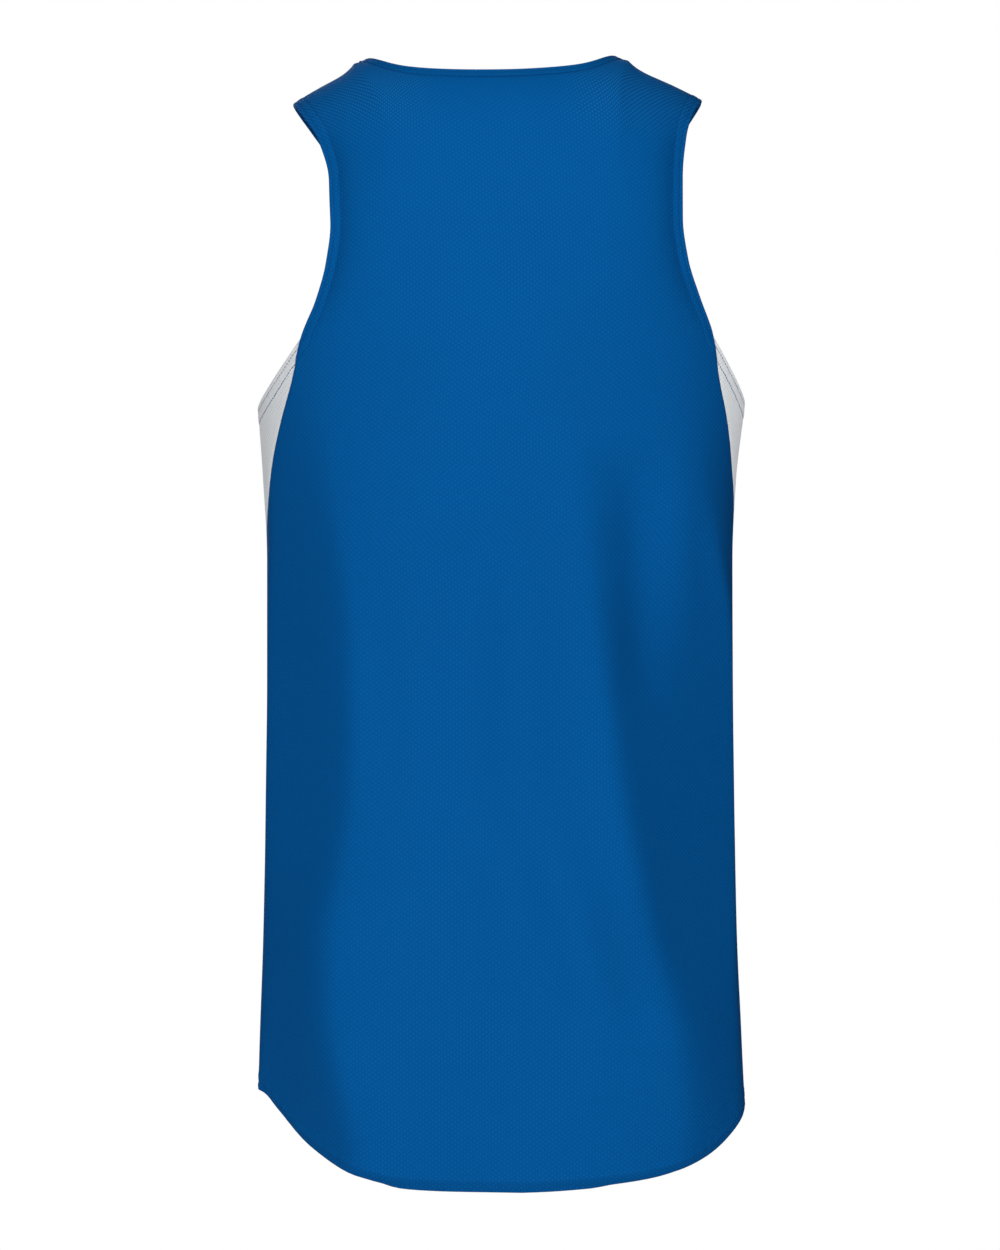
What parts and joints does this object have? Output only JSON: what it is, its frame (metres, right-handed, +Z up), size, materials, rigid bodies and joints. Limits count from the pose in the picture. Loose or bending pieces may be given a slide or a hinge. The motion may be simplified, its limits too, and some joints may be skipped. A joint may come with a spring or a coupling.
{
  "type": "sleeveless track jersey, worn form",
  "caption": "Sleeveless running singlet with mesh back and front, pale side inserts, bound neck and a curved hem, in its worn hollow form.",
  "frame": {"origin": "midway between the two neck points at the top of the shoulders, where the wearer holds it up", "axes": "+Z up, the back faces +Y and the front faces -Y, the wearer's left is +X"},
  "size_m": [0.3147, 0.2387, 0.7232],
  "materials": {
    "back_mesh": "matte mesh knit",
    "front_mesh": "matte mesh knit",
    "left_insert_mesh": "matte mesh knit",
    "right_insert_mesh": "matte mesh knit",
    "neck_band_mesh": "matte mesh knit"
  },
  "bodies": {
    "root": {"back_panel": "back_mesh", "front_panel": "front_mesh", "side_insert_left": "left_insert_mesh", "side_insert_right": "right_insert_mesh", "neck_band": "neck_band_mesh"}
  },
  "joints": []
}
